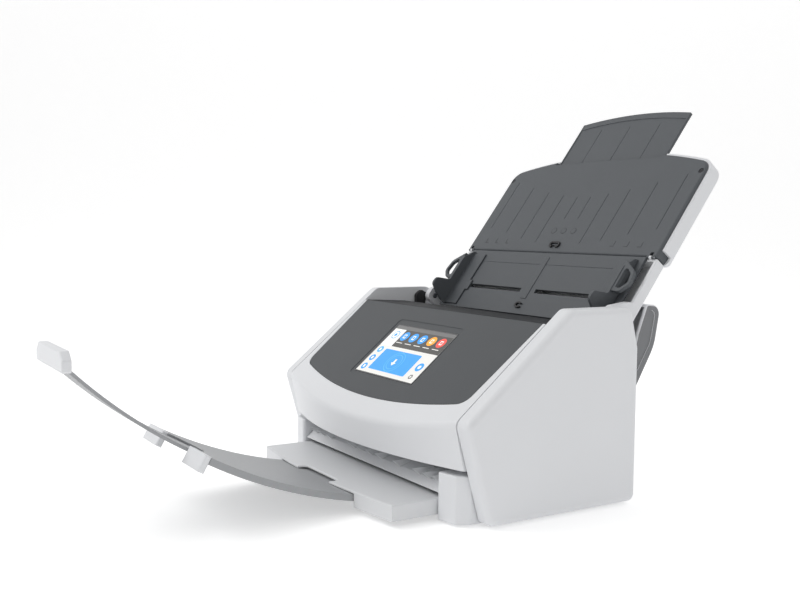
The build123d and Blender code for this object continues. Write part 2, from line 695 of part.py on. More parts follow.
with BuildPart() as upper_paper_guide:
    inner = path_points(PATH_GAP, PICK_Q + 8)
    outer = path_points(PATH_GAP + 1.6, PICK_Q + 8)
    extrude(profile(-GUIDE_HALF, strip(inner, outer, -53)), amount=2 * GUIDE_HALF)
    for x_low, x_high in DRIVE_X:
        add(window(x_low - 1, x_high + 1, PINCH_C, PINCH_R + 1), mode=Mode.SUBTRACT)
        add(window(x_low - 1, x_high + 1, EJECT_PINCH_C, PINCH_R + 0.8), mode=Mode.SUBTRACT)
    add(block(-SENSOR_HALF - 0.3, SENSOR_HALF + 0.3, sensor_block(GLASS_H / 2 + 0.3, -1, 6)),
            mode=Mode.SUBTRACT)
save(upper_paper_guide.part, "upper_paper_guide")

CHEEK_IN, CHEEK_OUT = 123.2, 125.2
with BuildPart() as unit_frame:
    for side in (-1, 1):
        cheek = [(-66, 46, 2), (-62, 66, 4), (*on_slope(96, -13), 6), (40, 134, 3), (48, 112, 4),
                 (*on_path(44, 3), 2), (*on_path(96, 4), 8), (-30, 36.5, 6), (-50, 36.5, 2), (-54,
                         46, 2)]
        x_low, x_high = sorted((side * CHEEK_IN, side * CHEEK_OUT))
        extrude(profile(x_low, cheek), amount=x_high - x_low)
        for centre, radius in ((BRAKE_C, 2.5), (PINCH_C, PINCH_SHAFT_R), (EJECT_PINCH_C, PINCH_SHAFT_R)):
            add(rod(x_low - 1, x_high + 1, centre, radius + SHAFT_PLAY), mode=Mode.SUBTRACT)
    beam = [(-20, 60, 1), (-20, 84, 1), (-14, 84, 1), (-14, 60, 1)]
    add(block(-CHEEK_IN - 0.5, CHEEK_IN + 0.5, beam))
save(unit_frame.part, "unit_frame")

save(rod(-CHEEK_OUT - 1, CHEEK_OUT + 1, BRAKE_C, 2.5), "brake_shaft")
save(tyres(BRAKE_C, BRAKE_R, 2.5, ROLL_X), "brake_tyres")


def pinch_roller(centre):
    """A thin shaft with a free rubber-faced roller over each driven tyre, one piece."""
    with BuildPart() as roller:
        add(rod(-CHEEK_OUT - 0.6, CHEEK_OUT + 0.6, centre, PINCH_SHAFT_R))
        for x_low, x_high in DRIVE_X:
            add(rod(x_low + 1, x_high - 1, centre, PINCH_R))
    return roller.part


save(pinch_roller(PINCH_C), "feed_pinch_roller")
save(pinch_roller(EJECT_PINCH_C), "eject_pinch_roller")

# ---------------------------------------------------------------- release lever
LEVER_X = (-131.6, -128.0)
with BuildPart() as release_lever:
    lever = [(54, 130, 3), (54, 145, 3), (60, 149.5, 3), (66.5, 146.0, 2), (63, 130, 3)]
    extrude(profile(LEVER_X[0], lever), amount=LEVER_X[1] - LEVER_X[0])
    add(rod(-INNER_HALF - PIN_DEPTH, LEVER_X[0], LEVER_PIVOT, LEVER_PIN_R - PIN_PLAY))
save(release_lever.part, "release_lever")

# ---------------------------------------------------------------- lower chute
def chute_box(x_low, x_high, s_low, s_high, n_low, n_high):
    """A box whose faces follow the chute: x, s up the slope and n over the paper face."""
    with BuildPart() as flat:
        with BuildSketch(CHUTE.offset(n_low)):
            with Locations(((x_low + x_high) / 2, (s_low + s_high) / 2)):
                Rectangle(x_high - x_low, s_high - s_low)
        extrude(amount=n_high - n_low)
    return flat.part


SLOT_LOW, SLOT_HIGH = -44.5, -40.3
SLOT_IN, SLOT_OUT = 10.0, 92.0
CHUTE_BACK_N = -13.8
CHUTE_SIDE = 127.0
PINION_PIN_R = 2.5
HINGE_X = (120.5, 124.5)
FOLD_AXIS = on_chute(0, -0.9)              # the fold runs just under the paper face
FOLD_R = 1.4
FOLD_PIN_R = 0.7
FOLD_EAR_X = (119.6, 122.0)
LUG_R = 6.5

with BuildPart() as lower_chute_tray:
    add(chute_box(-CHUTE_HALF, CHUTE_HALF, -LOWER_CHUTE, -GAP, -SKIN, 0))
    for side in (-1, 1):
        x_low, x_high = sorted((side * SLOT_IN, side * SLOT_OUT))
        add(chute_box(x_low, x_high, SLOT_LOW, SLOT_HIGH, -SKIN - 1, 1), mode=Mode.SUBTRACT)
    add(chute_box(-3.5, 3.5, -51, -5.4, -0.2, 0.5))
    add(chute_box(-90, 90, -13.8, -13.4, -0.3, 0.1), mode=Mode.SUBTRACT)
save(lower_chute_tray.part, "lower_chute_tray")

with BuildPart() as chute_back_shell:
    add(chute_box(-CHUTE_SIDE, CHUTE_SIDE, -LOWER_CHUTE + 1, -GAP, CHUTE_BACK_N, -SKIN - 0.1))
    rear = chute_back_shell.faces().sort_by(Axis(CHUTE.origin, CHUTE.z_dir))[0]
    fillet(rear.edges(), 3)
    add(chute_box(-CHUTE_SIDE + WALL, CHUTE_SIDE - WALL, -LOWER_CHUTE + 1 + WALL, -GAP - WALL,
                  CHUTE_BACK_N + WALL, 1), mode=Mode.SUBTRACT)
    with BuildSketch(CHUTE.offset(CHUTE_BACK_N + WALL)):
        with Locations((0, PINION_S)):
            Circle(PINION_PIN_R)
    extrude(amount=-SKIN - 0.2 - (CHUTE_BACK_N + WALL))
    for side in (-1, 1):
        # side wall beside the tray and its hinge lug
        x_low, x_high = sorted((side * HINGE_X[0], side * CHUTE_SIDE))
        arm = [(*on_chute(-LOWER_CHUTE + 1, -8), 0), (*on_chute(-44, -8), 0), (*on_chute(-44, 0), 4),
               (*on_chute(-LOWER_CHUTE + LUG_R + 3, 7.6 + LUG_R), 6), (*on_chute(-LOWER_CHUTE - 2.4,
                       7.6 + LUG_R), 6),
               (*on_chute(-LOWER_CHUTE - 2.4, 2), 5)]
        add(block(x_low, x_high, arm))
        add(rod(x_low - 1, x_high + 1, CHUTE_HINGE, CHUTE_PIN_R), mode=Mode.SUBTRACT)
        # ear of the fold hinge
        x_low, x_high = sorted((side * FOLD_EAR_X[0], side * FOLD_EAR_X[1]))
        leg = [(*on_chute(-2.6, -5), 0), (*on_chute(-0.8, -5), 0), (*on_chute(0,
                -0.9 - FOLD_R * 0.8), 0),
               (*on_chute(-FOLD_R, -0.9), 0)]
        add(block(x_low, x_high, leg))
        add(rod(x_low, x_high, FOLD_AXIS, FOLD_R))
        add(rod(x_low - 1, x_high + 1, FOLD_AXIS, FOLD_PIN_R + PIN_PLAY), mode=Mode.SUBTRACT)
save(chute_back_shell.part, "chute_back_shell")

with BuildPart() as chute_hinge_pins:
    for side in (-1, 1):
        x_low, x_high = sorted((side * HINGE_X[0], side * (INNER_HALF + PIN_DEPTH)))
        add(rod(x_low, x_high, CHUTE_HINGE, CHUTE_PIN_R - PIN_PLAY))
save(chute_hinge_pins.part, "chute_hinge_pins")

# ---------------------------------------------------------------- side guides, racks and pinion
RACK_N = (-7.0, -3.2)
BACKLASH = 0.16
PRESSURE = math.radians(20)


def involute(angle):
    """Involute function of a pressure angle."""
    return math.tan(angle) - angle


def pinion_points():
    """Corner points of the pinion's teeth, in its own plane."""
    base = PINION_R * math.cos(PRESSURE)
    tip = PINION_R + RACK_MODULE
    root = PINION_R - 1.3 * RACK_MODULE
    half = math.pi / (2 * PINION_TEETH) - BACKLASH / (2 * PINION_R)
    flank = [(root, half + involute(PRESSURE) - involute(math.acos(base / (base + 0.02))))]
    for step in range(5):
        r = base + 0.05 + (tip - base - 0.05) * step / 4
        flank.append((r, half + involute(PRESSURE) - involute(math.acos(base / r))))
    points = []
    for tooth in range(PINION_TEETH):
        middle = math.pi / 2 + 2 * math.pi * tooth / PINION_TEETH
        points += [(r * math.cos(middle - a), PINION_S + r * math.sin(middle - a)) for r, a in flank]
        points += [(r * math.cos(middle + a), PINION_S + r * math.sin(middle + a)) for r,
                a in reversed(flank)]
    return points


RACK_FIRST, RACK_LAST = -2, 18           # tooth spaces either side of the pinion
RACK_BACK = 5.0


def rack_points(side):
    """Corner points of a guide's toothed bar on the chute plane, with a tooth space over x = 0."""
    pitch = math.pi * RACK_MODULE
    half = pitch / 4 - BACKLASH / 2
    slope = math.tan(PRESSURE)
    root, tip = 1.25 * RACK_MODULE, -0.95 * RACK_MODULE
    bar = [(RACK_FIRST * pitch, RACK_BACK)]
    for space in range(RACK_FIRST, RACK_LAST):
        middle = (space + 0.5) * pitch
        bar += [(middle - half - root * slope, root), (middle - half - tip * slope, tip),
                (middle + half + tip * slope, tip), (middle + half + root * slope, root)]
    bar.append((RACK_LAST * pitch, RACK_BACK))
    return [(side * u, PINION_S + side * (PINION_R + v)) for u, v in bar]


with BuildPart() as guide_pinion:
    with BuildSketch(CHUTE.offset(RACK_N[0])):
        with BuildLine():
            Polyline(*pinion_points(), close=True)
        make_face()
        with Locations((0, PINION_S)):
            Circle(PINION_PIN_R + SHAFT_PLAY, mode=Mode.SUBTRACT)
    extrude(amount=RACK_N[1] - RACK_N[0])
save(guide_pinion.part, "guide_pinion")

GUIDE_IN, GUIDE_OUT = 108.0, 110.6        # the fence at its widest setting
STEM_IN, STEM_OUT = 86.5, 91.0
STEM_LOW, STEM_HIGH = -44.0, -40.8
STRIP_IN = 90.0


def guide_rack(side):
    """The toothed bar under the chute that one side guide moves, with the foot of its stem."""
    with BuildPart() as rack:
        with BuildSketch(CHUTE.offset(RACK_N[0])):
            with BuildLine():
                Polyline(*rack_points(side), close=True)
            make_face()
        extrude(amount=RACK_N[1] - RACK_N[0])
        back = PINION_S + side * (PINION_R + RACK_BACK)
        x_low, x_high = sorted((side * (STEM_IN - 3), side * STEM_OUT))
        near = STEM_LOW if side > 0 else STEM_HIGH
        s_low, s_high = sorted((near, back))
        if side < 0:
            s_low, s_high = back, STEM_HIGH
        add(chute_box(*sorted((side * STEM_IN, side * STEM_OUT)), s_low, s_high, *RACK_N))
        add(chute_box(x_low, x_high, *sorted((back - side * 3, back)), *RACK_N))
        add(chute_box(*sorted((side * STEM_IN, side * STEM_OUT)), STEM_LOW, STEM_HIGH, RACK_N[1], 0.3))
    return rack.part



def side_guide(side):
    """A paper guide: a fence, taller at the foot, on a flat strip, with a finger loop outside."""
    fence = [(-66.0, 0.3, 0), (-66.0, 6.0, 2), (-64.0, 13.5, 5), (-58.5, 24.6, 4.5), (-51.0, 23.4, 4),
             (-44.0, 10.2, 3), (-17.0, 10.2, 6), (-5.0, 3.4, 2), (-4.0, 0.3, 0)]
    fence = [(*on_chute(along, up), r) for along, up, r in fence]
    x_in, x_out = side * GUIDE_IN, side * GUIDE_OUT
    with BuildPart() as guide:
        add(guide_rack(side))
        add(block(*sorted((x_in, x_out)), fence))
        add(chute_box(*sorted((side * STRIP_IN, x_in)), -65.0, -6.0, 0.3, 1.5))
        add(chute_box(*sorted((side * (STEM_IN - 0.5), side * STRIP_IN)), -48.0, -37.0, 0.3, 1.5))
        with BuildSketch(CHUTE.offset(6.6)):
            loop = [(x_out - side, -40.5, 0), (side * 119.0, -41.5, 5), (side * 126.6, -33.0, 6),
                    (side * 124.0, -21.0, 7), (x_out - side, -11.0, 0)]
            hole = [(side * 113.2, -37.5, 2), (side * 118.5, -38.2, 3), (side * 123.6, -32.0, 4),
                    (side * 121.6, -23.5, 4), (side * 113.2, -17.0, 2)]
            with BuildLine():
                FilletPolyline(*[c[:2] for c in loop], radius=[c[2] for c in loop], close=True)
            make_face()
            with BuildLine():
                FilletPolyline(*[c[:2] for c in hole], radius=[c[2] for c in hole], close=True)
            make_face(mode=Mode.SUBTRACT)
        extrude(amount=3.0)
        add(chute_box(*sorted((x_out, side * (GUIDE_OUT + 2.6))), -64.0, -52.0, 0.3, 4.0))
    return guide.part


save(side_guide(-1), "left_side_guide")
save(side_guide(1), "right_side_guide")

# ---------------------------------------------------------------- upper cover
COVER_DEPTH = 12.0
RIM = 2.4                 # wall of the shell that stands round the tray
RIM_PLAY = 0.15
RIM_N = -2.6              # top of the rim, just under the paper face
RIM_FOOT = 8.0            # the rim starts this far above the fold
SHELL_N = -17.0
COVER_EDGE_S = 101.0
EXT_HALF = 68.7
NOTCH_S = 107.0
GROOVES = [(110.6, 28, 86), (82, 22, 78), (54, 15, 71.4), (30, 11, 67.3), (9, 39, 64.3)]
SCREW_X, SCREW_S = 122.5, 88.8


def cover_slab(inset_by, n_low, n_high, foot=None):
    """A slab of the cover's outline between two heights, moved in from its edge."""
    s_low = GAP + (inset_by if foot is None else foot)
    with BuildPart() as slab:
        face = bowed(CHUTE.offset(n_low), COVER_HALF - inset_by, COVER_HALF - inset_by, s_low,
                     COVER_EDGE_S - inset_by, 0, COVER_TOP - COVER_EDGE_S)
        extrude(face, amount=n_high - n_low)
        corners = slab.edges().filter_by(lambda e: abs(e.length - (n_high - n_low)) < 0.01)
        along = Axis(CHUTE.origin, CHUTE.y_dir)
        fillet(corners.sort_by(along)[-2:], 15 - inset_by)
        fillet(slab.edges().filter_by(lambda e: abs(e.length - (n_high - n_low)) < 0.01).sort_by(along)[:2],
               4 - inset_by / 2)
    return slab.part


with BuildPart() as upper_chute_tray:
    add(cover_slab(RIM, -COVER_DEPTH, 0, foot=0))
    front = upper_chute_tray.faces().sort_by(Axis(CHUTE.origin, CHUTE.z_dir))[-1]
    along = Axis(CHUTE.origin, CHUTE.y_dir)
    fillet(front.edges().sort_by(along)[1:], 2.0)
    add(cover_slab(RIM + SKIN, -COVER_DEPTH - 1, -SKIN, foot=SKIN), mode=Mode.SUBTRACT)
    add(chute_box(-EXT_HALF - 1.3, EXT_HALF + 1.3, NOTCH_S, COVER_TOP + 5, -COVER_DEPTH - 1, 1),
        mode=Mode.SUBTRACT)
    for x, s_low, s_high in GROOVES:
        for side in (-1, 1):
            add(chute_box(side * x - 0.3, side * x + 0.3, s_low, s_high, -0.4, 0.5), mode=Mode.SUBTRACT)
    for side in (-1, 1):
        x_low, x_high = sorted((side * (FOLD_EAR_X[0] - 0.5), side * (FOLD_EAR_X[1] + 0.5)))
        add(chute_box(x_low, x_high, -1, 4.5, -6, 2), mode=Mode.SUBTRACT)
        for radius, depth in ((2.5, 1.2), (1.2, SKIN + 0.5)):
            with BuildSketch(CHUTE.offset(0.5)):
                with Locations((side * SCREW_X, SCREW_S)):
                    Circle(radius)
            extrude(amount=-depth - 0.5, mode=Mode.SUBTRACT)
        for near, far in ((FOLD_EAR_X[0] - 2.4, FOLD_EAR_X[0] - 0.5), (FOLD_EAR_X[1] + 0.5,
                FOLD_EAR_X[1] + 2.4)):
            x_low, x_high = sorted((side * near, side * far))
            knuckle = [(*on_chute(-0.6, -2.3), 0), (*on_chute(-0.6, 0), 0), (*on_chute(3, 0), 0),
                       (*on_chute(3, -2.3), 0)]
            add(block(x_low, x_high, knuckle))
            add(rod(x_low, x_high, FOLD_AXIS, FOLD_R))
            add(rod(x_low, x_high, FOLD_AXIS, FOLD_PIN_R), mode=Mode.SUBTRACT)
save(upper_chute_tray.part, "upper_chute_tray")

with BuildPart() as upper_cover_shell:
    add(cover_slab(0, SHELL_N, -COVER_DEPTH - 0.15))
    rear = upper_cover_shell.faces().sort_by(Axis(CHUTE.origin, CHUTE.z_dir))[0]
    fillet(rear.edges(), 3.0)
    add(cover_slab(0, -COVER_DEPTH - 0.2, RIM_N))
    add(cover_slab(RIM - RIM_PLAY, SHELL_N + SKIN, 1), mode=Mode.SUBTRACT)
    add(chute_box(-COVER_HALF - 1, COVER_HALF + 1, -1, RIM_FOOT, -COVER_DEPTH - 0.15, 1), mode=Mode.SUBTRACT)
    add(chute_box(-EXT_HALF - 1.3, EXT_HALF + 1.3, NOTCH_S, COVER_TOP + 5, -COVER_DEPTH - 0.15, 1),
        mode=Mode.SUBTRACT)
save(upper_cover_shell.part, "upper_cover_shell")

with BuildPart() as chute_extension:
    face = bowed(CHUTE.offset(-5.6), EXT_HALF, EXT_HALF, 60, 161, 0, 6)
    extrude(face, amount=2.0)
    lip = bowed(CHUTE.offset(-5.6), EXT_HALF + 0.2, EXT_HALF + 0.2, 154, 161, -6.5, 6)
    extrude(lip, amount=2.6)
    for side in (-1, 1):
        x_low, x_high = sorted((side * (EXT_HALF - 1.2), side * EXT_HALF))
        add(chute_box(x_low, x_high, 60, 158, -5.6, -3.0))
    for x in (-38, 0, 38):
        add(chute_box(x - 0.3, x + 0.3, 108, 152, -3.9, -3), mode=Mode.SUBTRACT)
save(chute_extension.part, "chute_extension")

with BuildPart() as cover_screws:
    for side in (-1, 1):
        for n_low, n_high, radius in ((-1.2, -0.3, 2.2), (SHELL_N + SKIN, -1.2, 1.1)):
            with BuildSketch(CHUTE.offset(n_low)):
                with Locations((side * SCREW_X, SCREW_S)):
                    Circle(radius)
            extrude(amount=n_high - n_low)
save(cover_screws.part, "cover_screws")

with BuildPart() as fold_pins:
    for side in (-1, 1):
        x_low, x_high = sorted((side * (FOLD_EAR_X[0] - 2.4), side * (FOLD_EAR_X[1] + 2.4)))
        add(rod(x_low, x_high, FOLD_AXIS, FOLD_PIN_R))
save(fold_pins.part, "fold_pins")


def paper_hook(s_at):
    """A small C-shaped clip standing on the chute's centre line."""
    with BuildPart() as hook:
        with BuildSketch(CHUTE.offset(0)):
            with Locations((0, s_at)):
                RectangleRounded(13, 6.4, 2.6)
                RectangleRounded(9.4, 2.8, 1.2, mode=Mode.SUBTRACT)
            with Locations((0, s_at - 2.6)):
                Rectangle(5, 2.0, mode=Mode.SUBTRACT)
        extrude(amount=1.6)
    return hook.part


save(paper_hook(8.8), "cover_clip")

# ---------------------------------------------------------------- rear flap
FLAP_HALF = 126.6
FLAP_OUTLINE = [(73.2, 58.6, 2.5), (80.6, 57.4, 1.0), (117.0, 118.0, 40), (123.0, 150.6, 8), (107.0,
        151.8, 3),
                (97.5, 128.0, 6), (84.0, 74.0, 6), (73.2, 67.0, 2.5)]
FLAP_WALL = 2.4
with BuildPart() as rear_flap:
    extrude(profile(-FLAP_HALF, FLAP_OUTLINE), amount=2 * FLAP_HALF)
    sides = rear_flap.faces().filter_by(Axis.X)
    fillet(sides.edges().filter_by(lambda e: e.center().Y > 84 and e.center().Y - e.center().Z > -40), 1.5)
    inner = [(70, 50, 0), (80.6 - 2.2, 57.4 + 4.0, 0), (114.6, 118.6, 38), (120.4, 148.4, 6),
            (104.0, 149.4, 0),
             (94.0, 160.0, 0), (60, 100, 0), (60, 50, 0)]
    extrude(profile(-FLAP_HALF + FLAP_WALL, inner), amount=2 * (FLAP_HALF - FLAP_WALL),
            mode=Mode.SUBTRACT)
    recess = [(88.5, 83.0, 3), (112.0, 121.0, 20), (117.2, 146.4, 5), (109.5, 147.4, 2), (101.0,
            128.0, 5)]
    for side in (-1, 1):
        x_low, x_high = sorted((side * (FLAP_HALF - 1.0), side * (FLAP_HALF + 1.0)))
        add(block(x_low, x_high, recess), mode=Mode.SUBTRACT)
        x_low, x_high = sorted((side * (FLAP_HALF - FLAP_WALL), side * (INNER_HALF + PIN_DEPTH)))
        add(rod(x_low, x_high, FLAP_HINGE, FLAP_PIN_R - PIN_PLAY))
save(rear_flap.part, "rear_flap")

# ---------------------------------------------------------------- stacker
TRAY_REAR_Y = -22.0
TRAY_SKIN = 1.6
TRAY_BOW = 9.0
THROAT_HALF = 62.2        # the passage for the extensions under the tray
FINGER_HALF = 27.0

with BuildPart() as stacker_tray:
    with BuildSketch(Plane.XY.offset(TRAY_BOTTOM_Z)) as footprint:
        with BuildLine():
            Line((-TRAY_HALF, TRAY_REAR_Y), (-TRAY_HALF, TRAY_FRONT_Y))
            ThreePointArc((-TRAY_HALF, TRAY_FRONT_Y), (0, TRAY_FRONT_Y - TRAY_BOW), (TRAY_HALF,
                    TRAY_FRONT_Y))
            Line((TRAY_HALF, TRAY_FRONT_Y), (TRAY_HALF, TRAY_REAR_Y))
            Line((TRAY_HALF, TRAY_REAR_Y), (-TRAY_HALF, TRAY_REAR_Y))
        make_face()
        fillet(footprint.vertices().group_by(Axis.Y)[1], 5)
        with Locations((0, TRAY_FRONT_Y - 9)):
            RectangleRounded(2 * FINGER_HALF, 18, 4, mode=Mode.SUBTRACT)
    extrude(amount=TRAY_TOP_Z - TRAY_BOTTOM_Z)
    fillet(stacker_tray.faces().sort_by(Axis.Z)[-1].edges().filter_by(lambda e: e.center().Y < -60), 1.2)
    hollow = [(THROAT_HALF + 1.6, TRAY_HALF - 2.2), (-TRAY_HALF + 2.2, -THROAT_HALF - 1.6)]
    for x_low, x_high in hollow:
        add(block(x_low, x_high, [(TRAY_FRONT_Y + 3, 3, 0), (TRAY_FRONT_Y + 3,
                TRAY_TOP_Z - TRAY_SKIN, 0),
                                  (TRAY_REAR_Y - 2.4, TRAY_TOP_Z - TRAY_SKIN, 0),
                                          (TRAY_REAR_Y - 2.4, 3, 0)]),
            mode=Mode.SUBTRACT)
    add(block(-THROAT_HALF, THROAT_HALF,
              [(-140, 3, 0), (-140, TRAY_TOP_Z - TRAY_SKIN, 0), (0, TRAY_TOP_Z - TRAY_SKIN, 0), (0,
                      3, 0)]),
        mode=Mode.SUBTRACT)
save(stacker_tray.part, "stacker_tray")


def arc_slab(x_low, x_high, angle_low, angle_high, r_low, r_high):
    """A curved slab that follows the stacker arc between two angles."""
    middle = (angle_low + angle_high) / 2
    with BuildPart() as slab:
        with BuildSketch(Plane.YZ.offset(x_low)):
            with BuildLine():
                ThreePointArc(on_arc(angle_low, r_low), on_arc(middle, r_low), on_arc(angle_high, r_low))
                Line(on_arc(angle_high, r_low), on_arc(angle_high, r_high))
                ThreePointArc(on_arc(angle_high, r_high), on_arc(middle, r_high), on_arc(angle_low,
                        r_high))
                Line(on_arc(angle_low, r_high), on_arc(angle_low, r_low))
            make_face()
        extrude(amount=x_high - x_low)
    return slab.part


MIDDLE_HALF = 61.0
MIDDLE_ANGLES = (8.9, 29.03)
MIDDLE_DEPTH = 5.0
END_HALF = 27.0
END_ANGLES = (26.4, 45.6)
SKIN_R = ARC_R + 1.5
GRIP_T = 0.75             # grip thickness along the arc, degrees
GRIP_IN = 28.5

with BuildPart() as stacker_middle:
    add(arc_slab(-MIDDLE_HALF, MIDDLE_HALF, *MIDDLE_ANGLES, ARC_R, ARC_R + MIDDLE_DEPTH))
    channels = [(-GRIP_IN + 0.7, GRIP_IN - 0.7), (GRIP_IN + 1, MIDDLE_HALF - 1.6),
            (-MIDDLE_HALF + 1.6, -GRIP_IN - 1)]
    for x_low, x_high in channels:
        add(arc_slab(x_low, x_high, MIDDLE_ANGLES[0] - 1, MIDDLE_ANGLES[1] + 1, SKIN_R, ARC_R + 9),
            mode=Mode.SUBTRACT)
    with BuildSketch(Plane.XY):
        with Locations((0, ARC_Y - ARC_R * math.sin(math.radians(MIDDLE_ANGLES[1])))):
            Ellipse(GRIP_IN - 1, 14)
    extrude(amount=90, mode=Mode.SUBTRACT)
save(stacker_middle.part, "stacker_middle")

with BuildPart() as stacker_grips:
    for side in (-1, 1):
        x_low, x_high = sorted((side * GRIP_IN, side * MIDDLE_HALF))
        add(arc_slab(x_low, x_high, MIDDLE_ANGLES[1], MIDDLE_ANGLES[1] + GRIP_T, ARC_R - 0.4,
                ARC_R + 12))
    fillet(stacker_grips.edges().filter_by(lambda e: 4 < e.length < 13), 1.2)
save(stacker_grips.part, "stacker_grips")

with BuildPart() as stacker_end:
    add(arc_slab(-END_HALF, END_HALF, *END_ANGLES, SKIN_R + 0.2, SKIN_R + 2.6))
    for side in (-1, 1):
        x_low, x_high = sorted((side * (END_HALF - 5), side * (END_HALF - 3.8)))
        add(arc_slab(x_low, x_high, END_ANGLES[0] - 1, END_ANGLES[1] - 1, SKIN_R, SKIN_R + 0.7),
                mode=Mode.SUBTRACT)
save(stacker_end.part, "stacker_end")

STOP_ANGLE = 46.0
STOP_Y = on_arc(STOP_ANGLE, ARC_R)[0]
with BuildPart() as stacker_stop:
    with BuildSketch(Plane.XZ.offset(-STOP_Y + 5.0)):
        with BuildLine():
            FilletPolyline((-31.5, 128.0), (31.5, 128.0), (38.6, 122.5), (38.6, 114.0), (-38.6, 114.0),
                           (-38.6, 122.5), radius=[2, 2, 2, 2, 2, 2], close=True)
        make_face()
    extrude(amount=-6.4)
    fillet(stacker_stop.faces().sort_by(Axis.Y)[0].edges(), 1.2)
    add(arc_slab(-END_HALF - 0.2, END_HALF + 0.2, 44.9, 45.6, SKIN_R + 0.2, SKIN_R + 2.6),
            mode=Mode.SUBTRACT)
save(stacker_stop.part, "stacker_stop")

# ---------------------------------------------------------------- drive belts
BELT_PLAY = 0.2


def belt(wheels, x_low):
    """A closed belt stretched round a set of wheels."""
    with BuildPart() as loop:
        with BuildSketch(Plane.YZ.offset(x_low)) as outer:
            for centre, radius in wheels:
                with Locations(centre):
                    Circle(radius + BELT_PLAY + BELT_T)
            make_hull()
        with BuildSketch(Plane.YZ.offset(x_low)) as hole:
            for centre, radius in wheels:
                with Locations(centre):
                    Circle(radius + BELT_PLAY)
            make_hull()
        extrude(outer.sketch - hole.sketch, amount=BELT_X[1] - BELT_X[0])
    return loop.part


with BuildPart() as drive_belts:
    add(belt([(PICK_C, PULLEY_R), (FEED_C, PULLEY_R), (MOTOR_C, MOTOR_PULLEY_R)], -BELT_X[1]))
    add(belt([(FEED_C, PULLEY_R), (EJECT_C, EJECT_PULLEY_R)], BELT_X[0]))
save(drive_belts.part, "drive_belts")
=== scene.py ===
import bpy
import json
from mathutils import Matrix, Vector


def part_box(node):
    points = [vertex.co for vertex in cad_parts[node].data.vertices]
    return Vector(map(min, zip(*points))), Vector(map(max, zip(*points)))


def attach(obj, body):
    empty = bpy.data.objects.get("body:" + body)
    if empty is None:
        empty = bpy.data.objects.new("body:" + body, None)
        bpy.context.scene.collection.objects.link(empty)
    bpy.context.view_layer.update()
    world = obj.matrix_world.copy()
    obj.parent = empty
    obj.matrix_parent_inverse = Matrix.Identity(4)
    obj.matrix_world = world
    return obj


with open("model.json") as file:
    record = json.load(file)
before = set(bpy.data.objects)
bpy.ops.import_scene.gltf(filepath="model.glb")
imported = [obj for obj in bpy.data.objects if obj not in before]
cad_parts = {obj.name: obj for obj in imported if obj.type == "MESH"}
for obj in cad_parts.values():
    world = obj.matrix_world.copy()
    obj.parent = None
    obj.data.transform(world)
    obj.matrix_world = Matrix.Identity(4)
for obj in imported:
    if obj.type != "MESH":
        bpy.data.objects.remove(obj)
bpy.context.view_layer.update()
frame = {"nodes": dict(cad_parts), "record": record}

import itertools
import json
import math
import bmesh
import bpy
from mathutils import Matrix, Vector

MM = 0.001
FEET_BEHIND_MIDDLE = 9 * MM
MIDDLE_Y = sum(corner[1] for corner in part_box("rubber_feet")) / 2 - FEET_BEHIND_MIDDLE

# view of the photograph: degrees, pixels, and the eye relative to the body's middle in mm
AZIMUTH, ELEVATION, ROLL = math.radians(58.058), math.radians(4.204), math.radians(0.680)
FOCAL_PX, IMAGE_WIDTH_PX, SENSOR_MM = 963.83, 800, 36.0
EYE_MM = Vector((669.3, -462.2, 208.9))

# sloping touch glass and open chute: unit vectors up the face and out of it, and a point by it in mm
ACROSS = Vector((1, 0, 0))
SLOPE_UP, SLOPE_OUT, SLOPE_FOOT = Vector((0, 0.7694, 0.6387)), Vector((0, -0.6387, 0.7694)), (-80.9, 75.3)
CHUTE_UP, CHUTE_OUT, CHUTE_FOLD = Vector((0, 0.60599, 0.79547)), Vector((0, -0.79547, 0.60599)), (114.9, 189.3)

# drawn part of the display on the slope, in mm: left, bottom, width, height
SCREEN_LEFT, SCREEN_BOTTOM, SCREEN_WIDTH, SCREEN_HEIGHT = -40.3, 23.0, 87.3, 55.6
MARK_LIFT, MARK_STEP, MARK_THICK = 0.02, 0.04, 0.03

# studio floor in metres: how far it reaches, where it starts to rise, and how
FLOOR_FRONT, FLOOR_TURN, FLOOR_RADIUS, FLOOR_TOP, FLOOR_HALF_WIDTH = -4.0, 2.0, 1.5, 6.0, 7.0
FLOOR_Z = -0.4 * MM

# sockets of the colour mix node
MIX_FIRST, MIX_SECOND, MIX_RESULT = 6, 7, 2


# ------------------------------------------------------------------ materials
def links(mat):
    mat.use_nodes = True
    return mat.node_tree.nodes, mat.node_tree.links


def tint(rgb, k):
    return tuple(min(1.0, c * k) for c in rgb) + (1.0,)


def noise(n, l, vector, scale, detail):
    node = n.new("ShaderNodeTexNoise")
    node.inputs["Scale"].default_value = scale
    node.inputs["Detail"].default_value = detail
    l.new(vector, node.inputs["Vector"])
    return node.outputs["Fac"]


def blend(n, l, factor, first, second):
    """Mix of two colours; each is a colour or another node's output."""
    node = n.new("ShaderNodeMix")
    node.data_type = "RGBA"
    l.new(factor, node.inputs[0])
    for socket, value in ((MIX_FIRST, first), (MIX_SECOND, second)):
        if isinstance(value, tuple):
            node.inputs[socket].default_value = value
        else:
            l.new(value, node.inputs[socket])
    return node.outputs[MIX_RESULT]


def camera_glow(n, l, target, strength, extra):
    """Sets a strength, raised only where the camera looks straight at the surface."""
    path = n.new("ShaderNodeLightPath")
    glow = n.new("ShaderNodeMath")
    glow.operation = "MULTIPLY_ADD"
    glow.inputs[1].default_value = extra
    glow.inputs[2].default_value = strength
    l.new(path.outputs["Is Camera Ray"], glow.inputs[0])
    l.new(glow.outputs["Value"], target)


